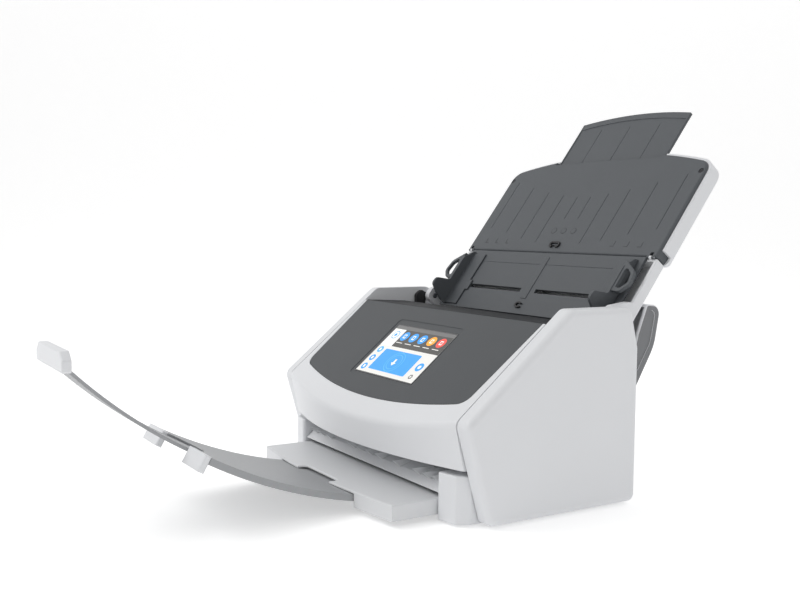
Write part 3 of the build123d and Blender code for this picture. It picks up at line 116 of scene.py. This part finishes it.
def moulded(name, rgb, rough=0.45, grain=1400.0, bump=0.06, edge=1.12,
            metal=0.0, coat=0.0, vary=0.05, brushed=False):
    """Moulded plastic, rubber or metal: fine grain, slow colour drift, worn lighter edges."""
    mat = bpy.data.materials.new(name)
    n, l = links(mat)
    bsdf = n["Principled BSDF"]
    bsdf.inputs["Metallic"].default_value = metal
    bsdf.inputs["Coat Weight"].default_value = coat
    bsdf.inputs["Coat Roughness"].default_value = 0.12
    coord = n.new("ShaderNodeTexCoord")
    place = coord.outputs["Object"]
    drift = noise(n, l, place, 22.0, 4.0)
    drifted = blend(n, l, drift, tint(rgb, 1 - vary), tint(rgb, 1 + vary))
    bevel = n.new("ShaderNodeBevel")
    bevel.samples = 4
    bevel.inputs["Radius"].default_value = 0.5 * MM
    geo = n.new("ShaderNodeNewGeometry")
    same = n.new("ShaderNodeVectorMath")
    same.operation = "DOT_PRODUCT"
    l.new(bevel.outputs["Normal"], same.inputs[0])
    l.new(geo.outputs["Normal"], same.inputs[1])
    rim = n.new("ShaderNodeMapRange")
    rim.inputs["From Min"].default_value = 1.0
    rim.inputs["From Max"].default_value = 0.8
    l.new(same.outputs["Value"], rim.inputs["Value"])
    worn = blend(n, l, rim.outputs["Result"], drifted, tint(rgb, edge))
    l.new(worn, bsdf.inputs["Base Color"])
    if brushed:
        stretch = n.new("ShaderNodeMapping")
        stretch.inputs["Scale"].default_value = (0.04, 1.0, 1.0)
        l.new(place, stretch.inputs["Vector"])
        place = stretch.outputs["Vector"]
    fine = noise(n, l, place, grain, 3.0)
    gloss = n.new("ShaderNodeMapRange")
    gloss.inputs["To Min"].default_value = max(0.04, rough - 0.06)
    gloss.inputs["To Max"].default_value = rough + 0.06
    l.new(fine, gloss.inputs["Value"])
    l.new(gloss.outputs["Result"], bsdf.inputs["Roughness"])
    relief = n.new("ShaderNodeBump")
    relief.inputs["Strength"].default_value = bump
    relief.inputs["Distance"].default_value = 0.1 * MM
    l.new(fine, relief.inputs["Height"])
    l.new(bevel.outputs["Normal"], relief.inputs["Normal"])
    l.new(relief.outputs["Normal"], bsdf.inputs["Normal"])
    return mat


def lit(name, rgb, strength=0.55):
    """A colour shown by the display: a glossy surface that glows, with a fine cell pattern."""
    mat = bpy.data.materials.new(name)
    n, l = links(mat)
    bsdf = n["Principled BSDF"]
    bsdf.inputs["Roughness"].default_value = 0.22
    coord = n.new("ShaderNodeTexCoord")
    cells = noise(n, l, coord.outputs["Object"], 3000.0, 2.0)
    shown = blend(n, l, cells, tint(rgb, 0.94), tint(rgb, 1.0))
    l.new(shown, bsdf.inputs["Base Color"])
    l.new(shown, bsdf.inputs["Emission Color"])
    bsdf.inputs["Emission Strength"].default_value = strength
    return mat


def glass(name, rgb):
    mat = moulded(name, rgb, rough=0.08, bump=0.01, vary=0.02)
    bsdf = mat.node_tree.nodes["Principled BSDF"]
    bsdf.inputs["Transmission Weight"].default_value = 0.85
    bsdf.inputs["IOR"].default_value = 1.5
    return mat


SLOTS = {
    "white_plastic": moulded("white_plastic", (0.80, 0.81, 0.83), 0.42, 1500, 0.05, 1.04, vary=0.012),
    "panel_grey": moulded("panel_grey", (0.056, 0.062, 0.068), 0.44, 1700, 0.08, 1.25),
    "chute_grey": moulded("chute_grey", (0.086, 0.094, 0.103), 0.54, 1300, 0.12, 1.3),
    "plate_grey": moulded("plate_grey", (0.016, 0.018, 0.021), 0.62, 1500, 0.08, 1.35),
    "dark_steel": moulded("dark_steel", (0.03, 0.03, 0.033), 0.35, 900, 0.10, 1.8, metal=0.6),
    "tray_grey": moulded("tray_grey", (0.74, 0.75, 0.765), 0.46, 1300, 0.10, 1.1, vary=0.02),
    "inner_black": moulded("inner_black", (0.018, 0.018, 0.020), 0.50, 1200, 0.12, 1.8),
    "inner_grey": moulded("inner_grey", (0.36, 0.37, 0.38), 0.50, 1200, 0.10, 1.15),
    "screen_glass": moulded("screen_glass", (0.03, 0.031, 0.034), 0.10, 400, 0.01, 1.3, coat=0.6),
    "scan_glass": glass("scan_glass", (0.80, 0.88, 0.86)),
    "roller_rubber": moulded("roller_rubber", (0.030, 0.030, 0.033), 0.78, 700, 0.35, 1.5),
    "steel": moulded("steel", (0.55, 0.56, 0.58), 0.24, 2200, 0.10, 1.2, metal=1.0, brushed=True),
    "sheet_steel": moulded("sheet_steel", (0.50, 0.51, 0.52), 0.38, 500, 0.12, 1.2, metal=1.0, vary=0.10),
    "brass": moulded("brass", (0.70, 0.55, 0.28), 0.35, 1200, 0.12, 1.2, metal=1.0, vary=0.08),
    "board_green": moulded("board_green", (0.03, 0.16, 0.08), 0.30, 600, 0.10, 1.4, vary=0.15),
}
SLOTS["plate_grey"].node_tree.nodes["Principled BSDF"].inputs["Specular IOR Level"].default_value = 0.25

for part in frame["record"]["subparts"]:
    node = frame["nodes"][part["node"]]
    node.data.materials.clear()
    node.data.materials.append(SLOTS[part["material_slot"]])
    for face in node.data.polygons:
        face.use_smooth = True
    node.data.set_sharp_from_angle(angle=math.radians(28))


def painted_side_shade(name, rgb, side_shade_rgb):
    """Plastic of one colour, with painted shade: a second colour painted on the faces that look to the sides.
    """
    mat = moulded(name, rgb, 0.42, 1500, 0.05, 1.04, vary=0.012)
    n, l = links(mat)
    bsdf = n["Principled BSDF"]
    base = bsdf.inputs["Base Color"].links[0].from_socket
    geo = n.new("ShaderNodeNewGeometry")
    split = n.new("ShaderNodeSeparateXYZ")
    l.new(geo.outputs["True Normal"], split.inputs["Vector"])
    sideways = n.new("ShaderNodeMath")
    sideways.operation = "ABSOLUTE"
    l.new(split.outputs["X"], sideways.inputs[0])
    # mask of the faces that look to the sides, which get the painted shade colour
    step = n.new("ShaderNodeMapRange")
    step.inputs["From Min"].default_value = 0.93
    step.inputs["From Max"].default_value = 0.985
    l.new(sideways.outputs["Value"], step.inputs["Value"])
    shaded = blend(n, l, step.outputs["Result"], base, (*side_shade_rgb, 1.0))
    l.new(shaded, bsdf.inputs["Base Color"])
    return mat


stage_grey = moulded("stage_grey", (0.37, 0.378, 0.39), 0.44, 1300, 0.10, 1.35, vary=0.02)
for name in ("stacker_middle", "stacker_end"):
    frame["nodes"][name].data.materials[0] = stage_grey
# rear flap: white plastic with painted shade, a dark grey painted on its side faces
flap_white_painted_side_shade = painted_side_shade("flap_white_painted_side_shade", (0.80, 0.81, 0.83), (0.205, 0.21, 0.22))
frame["nodes"]["rear_flap"].data.materials[0] = flap_white_painted_side_shade


# ------------------------------------------------------------------ flat marks and raised details
def on_middle(point):
    """A point of the middle plane, given as y from the body's middle and z, in mm."""
    return Vector((0, MIDDLE_Y + point[0] * MM, point[1] * MM))


def slope_frame():
    """Origin on the outer face of the touch glass, then the axes across, up and out."""
    top = max(v.co @ SLOPE_OUT for v in frame["nodes"]["touch_glass"].data.vertices)
    foot = on_middle(SLOPE_FOOT)
    return foot + SLOPE_OUT * (top - foot @ SLOPE_OUT), ACROSS, SLOPE_UP, SLOPE_OUT


def chute_frame():
    """Origin on the chute's paper face at the fold, then the axes across, up and out."""
    return on_middle(CHUTE_FOLD), ACROSS, CHUTE_UP, CHUTE_OUT


def plate(name, points, where, lift, thick, mat, body):
    """A thin plate with the given outline (mm), raised from a frame's face by lift."""
    o, eu, ev, en = where
    bm = bmesh.new()
    low = [bm.verts.new(o + eu * u * MM + ev * v * MM + en * lift * MM) for u, v in points]
    high = [bm.verts.new(o + eu * u * MM + ev * v * MM + en * (lift + thick) * MM) for u, v in points]
    bm.faces.new(list(reversed(low)))
    bm.faces.new(high)
    for i in range(len(points)):
        j = (i + 1) % len(points)
        bm.faces.new((low[i], low[j], high[j], high[i]))
    bmesh.ops.recalc_face_normals(bm, faces=bm.faces)
    mesh = bpy.data.meshes.new(name)
    bm.to_mesh(mesh)
    bm.free()
    obj = bpy.data.objects.new(name, mesh)
    bpy.context.collection.objects.link(obj)
    obj.data.materials.append(mat)
    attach(obj, body)
    return obj


def rounded(u0, v0, u1, v1, r, steps=6):
    """Outline of a rectangle with round corners."""
    pts = []
    corners = ((u1 - r, v1 - r, 0), (u0 + r, v1 - r, 90), (u0 + r, v0 + r, 180), (u1 - r, v0 + r, 270))
    for cu, cv, start in corners:
        for i in range(steps + 1):
            a = math.radians(start + 90 * i / steps)
            pts.append((cu + r * math.cos(a), cv + r * math.sin(a)))
    return pts


def disc(cu, cv, r, steps=40):
    turns = [2 * math.pi * i / steps for i in range(steps)]
    return [(cu + r * math.cos(a), cv + r * math.sin(a)) for a in turns]


SCREEN = slope_frame()
BLUE = lit("screen_blue", (0.035, 0.30, 0.80))
DEEP = lit("screen_ring", (0.07, 0.38, 0.86))
WHITE = lit("screen_white", (0.88, 0.89, 0.88), 0.4)
PALE = lit("screen_pale", (0.80, 0.79, 0.76), 0.35)
DARK = lit("screen_dark", (0.075, 0.072, 0.068), 0.3)
BAR = lit("screen_bar", (0.16, 0.16, 0.16), 0.3)
ORANGE = lit("screen_orange", (0.90, 0.36, 0.03))
RED = lit("screen_red", (0.85, 0.08, 0.06))
numbers = itertools.count(1)


def ui(points, level, mat):
    """One drawn shape of the display; level stacks it over the shapes below."""
    name = f"display_mark_{next(numbers):02d}"
    lift = MARK_LIFT + MARK_STEP * level
    plate(name, points, SCREEN, lift, MARK_THICK, mat, "feed_unit")


def at(a, b):
    """Place on the display from shares of its width and height."""
    return SCREEN_LEFT + SCREEN_WIDTH * a, SCREEN_BOTTOM + SCREEN_HEIGHT * b


def area(a0, b0, a1, b1, r):
    return rounded(*at(a0, b0), *at(a1, b1), r)


# background, dark field, bar along the top, and the white corner with its round mark
ui(area(0, 0, 1, 1, 0.6), 0, PALE)
ui(area(0.20, 0.57, 1, 0.93, 0.3), 1, DARK)
ui(area(0, 0.93, 1, 1, 0.3), 1, BAR)
ui(area(0.003, 0.57, 0.197, 0.925, 0.3), 1, WHITE)
ui(disc(*at(0.10, 0.80), 4.6), 2, BLUE)
ui(disc(*at(0.10, 0.80), 3.8), 3, WHITE)
ui([at(0.075, 0.80), at(0.10, 0.76), at(0.125, 0.80), at(0.10, 0.84)], 4, BLUE)
# row of round marks, each with a plain bar below
for a, shade in ((0.27, BLUE), (0.425, BLUE), (0.58, BLUE), (0.735, ORANGE), (0.89, RED)):
    cu, cv = at(a, 0.80)
    ui(disc(cu, cv, 5.2), 2, shade)
    ui(rounded(cu - 1.9, cv - 2.3, cu + 1.9, cv + 2.3, 0.5), 3, WHITE)
    ui(rounded(cu - 0.9, cv - 1.3, cu + 1.3, cv + 1.3, 0.3), 4, shade)
    ui(rounded(cu - 4.6, cv - 8.1, cu + 4.6, cv - 7.3, 0.3), 2, PALE)
# large button with rings and a down arrow
ui(area(0.165, 0.075, 0.80, 0.505, 1.4), 1, BLUE)
bu, bv = at(0.4825, 0.29)
for r_out, shade, level in ((11.2, DEEP, 2), (10.2, BLUE, 3), (8.6, DEEP, 4), (7.6, BLUE, 5)):
    ui(disc(bu, bv, r_out), level, shade)
ui([(bu - 3.2, bv - 1.0), (bu - 1.2, bv - 1.0), (bu - 1.2, bv + 3.0), (bu + 1.2, bv + 3.0),
    (bu + 1.2, bv - 1.0), (bu + 3.2, bv - 1.0), (bu, bv - 4.2)], 6, WHITE)
# small marks at the left and right, the last a gear
for b, shade in ((0.47, DEEP), (0.285, BLUE), (0.10, BLUE)):
    cu, cv = at(0.078, b)
    ui(disc(cu, cv, 3.6), 1, shade)
    ui(rounded(cu - 1.2, cv - 1.5, cu + 1.2, cv + 1.5, 0.4), 2, WHITE)
cu, cv = at(0.905, 0.30)
ui(disc(cu, cv, 4.5), 1, BLUE)
ui(disc(cu, cv, 1.9), 2, WHITE)
gu, gv = at(0.905, 0.105)
teeth = []
for i in range(32):
    radius = 2.5 if i % 4 < 2 else 2.0
    teeth.append((gu + radius * math.cos(i * math.pi / 16), gv + radius * math.sin(i * math.pi / 16)))
ui(teeth, 1, DARK)
ui(disc(gu, gv, 1.2), 2, PALE)

# faint marks near the fold of the cover: corners for the paper edges, and rings
CHUTE = chute_frame()
MARK = moulded("mark_grey", (0.045, 0.049, 0.054), 0.5)
CORNER = ((0, 9), (0, 14.5), (0.7, 14.5), (0.7, 9.7), (4.5, 9.7), (4.5, 9))   # inwards, up the chute
places = [(side, reach) for side in (-1, 1) for reach in (73.3, 89.4, 105.0)]
for number, (side, reach) in enumerate(places, 1):
    corner = [(side * reach - side * inwards, up) for inwards, up in CORNER]
    if side < 0:
        corner.reverse()
    plate(f"paper_mark_{number}", corner, CHUTE, 0.0, 0.08, MARK, "cover")
for number, x in enumerate((-13.0, 0.0, 13.0), 1):
    plate(f"load_mark_{number}", disc(x, 25, 3.4), CHUTE, 0.0, 0.06, MARK, "cover")
    inner = disc(x, 25, 2.8)
    plate(f"load_mark_inner_{number}", inner, CHUTE, 0.02, 0.08, SLOTS["chute_grey"], "cover")


def clip_arc(cu, cv, r_out, r_in, gap, steps=36):
    """Outline of an open ring, drawn out sideways, with a gap of so many degrees on each side of +u."""
    turns = [math.radians(gap + (360 - 2 * gap) * i / steps) for i in range(steps + 1)]
    outer = [(cu + r_out * 1.5 * math.cos(a), cv + r_out * math.sin(a)) for a in turns]
    inner = [(cu + r_in * 1.6 * math.cos(a), cv + r_in * math.sin(a)) for a in turns]
    return outer + inner[::-1]


clip = clip_arc(0, -58.5, 3.2, 1.7, 32)
plate("lower_clip", clip, CHUTE, 0.0, 1.6, SLOTS["inner_black"], "chute")

# ------------------------------------------------------------------ stage, light, camera
profile = [(FLOOR_FRONT, FLOOR_Z)]
for i in range(25):
    turn = math.radians(90 * i / 24)
    reach = FLOOR_TURN + FLOOR_RADIUS * math.sin(turn)
    profile.append((reach, FLOOR_RADIUS * (1 - math.cos(turn)) + FLOOR_Z))
profile.append((FLOOR_TURN + FLOOR_RADIUS, FLOOR_TOP))
bm = bmesh.new()
rows = []
view_dir = Vector((-math.sin(AZIMUTH), math.cos(AZIMUTH), 0))
side_dir = Vector((math.cos(AZIMUTH), math.sin(AZIMUTH), 0))
for across in (-FLOOR_HALF_WIDTH, FLOOR_HALF_WIDTH):
    rows.append([bm.verts.new(view_dir * d + side_dir * across + Vector((0, 0, z))) for d, z in profile])
for i in range(len(profile) - 1):
    bm.faces.new((rows[0][i], rows[1][i], rows[1][i + 1], rows[0][i + 1]))
mesh = bpy.data.meshes.new("studio_floor")
bm.to_mesh(mesh)
bm.free()
floor = bpy.data.objects.new("studio_floor", mesh)
bpy.context.collection.objects.link(floor)
for face in mesh.polygons:
    face.use_smooth = True
floor_mat = moulded("floor_paper", (0.90, 0.90, 0.90), 0.85, 300, 0.02, 1.0, vary=0.005)
nodes, wires = links(floor_mat)
nodes["Principled BSDF"].inputs["Emission Color"].default_value = (1.0, 1.0, 1.0, 1.0)
camera_glow(nodes, wires, nodes["Principled BSDF"].inputs["Emission Strength"], 0.22, 0.16)
floor.data.materials.append(floor_mat)

world = bpy.context.scene.world or bpy.data.worlds.new("studio")
bpy.context.scene.world = world
nodes, wires = links(world)
nodes["Background"].inputs["Color"].default_value = (1.0, 1.0, 1.0, 1.0)
camera_glow(nodes, wires, nodes["Background"].inputs["Strength"], 0.58, 0.42)


def softbox(name, place, target, size, power):
    light = bpy.data.lights.new(name, "AREA")
    light.shape = "RECTANGLE"
    light.size, light.size_y = size
    light.energy = power
    obj = bpy.data.objects.new(name, light)
    bpy.context.collection.objects.link(obj)
    obj.location = place
    obj.rotation_euler = (Vector(target) - Vector(place)).to_track_quat("-Z", "Y").to_euler()


centre = (0, MIDDLE_Y, 0.13)
softbox("key_light", (-0.7, -1.1, 1.5), centre, (1.2, 0.9), 11)
softbox("fill_light", (1.5, -0.3, 0.9), centre, (1.4, 1.2), 0.6)
softbox("back_light", (0.2, 1.3, 1.2), centre, (1.6, 0.8), 3)

camera_data = bpy.data.cameras.new("camera")
camera_data.sensor_width = SENSOR_MM
camera_data.lens = FOCAL_PX / IMAGE_WIDTH_PX * SENSOR_MM
camera_data.clip_start = 0.05
camera = bpy.data.objects.new("camera", camera_data)
bpy.context.collection.objects.link(camera)
back = Vector((0, 0, math.sin(ELEVATION))) - view_dir * math.cos(ELEVATION)
rise = back.cross(side_dir)
right = side_dir * math.cos(ROLL) + rise * math.sin(ROLL)
up = rise * math.cos(ROLL) - side_dir * math.sin(ROLL)
eye = EYE_MM * MM + Vector((0, MIDDLE_Y, 0))
camera.matrix_world = Matrix((
    (right.x, up.x, back.x, eye.x),
    (right.y, up.y, back.y, eye.y),
    (right.z, up.z, back.z, eye.z),
    (0, 0, 0, 1),
))
bpy.context.scene.camera = camera
bpy.context.scene.view_settings.view_transform = "Standard"
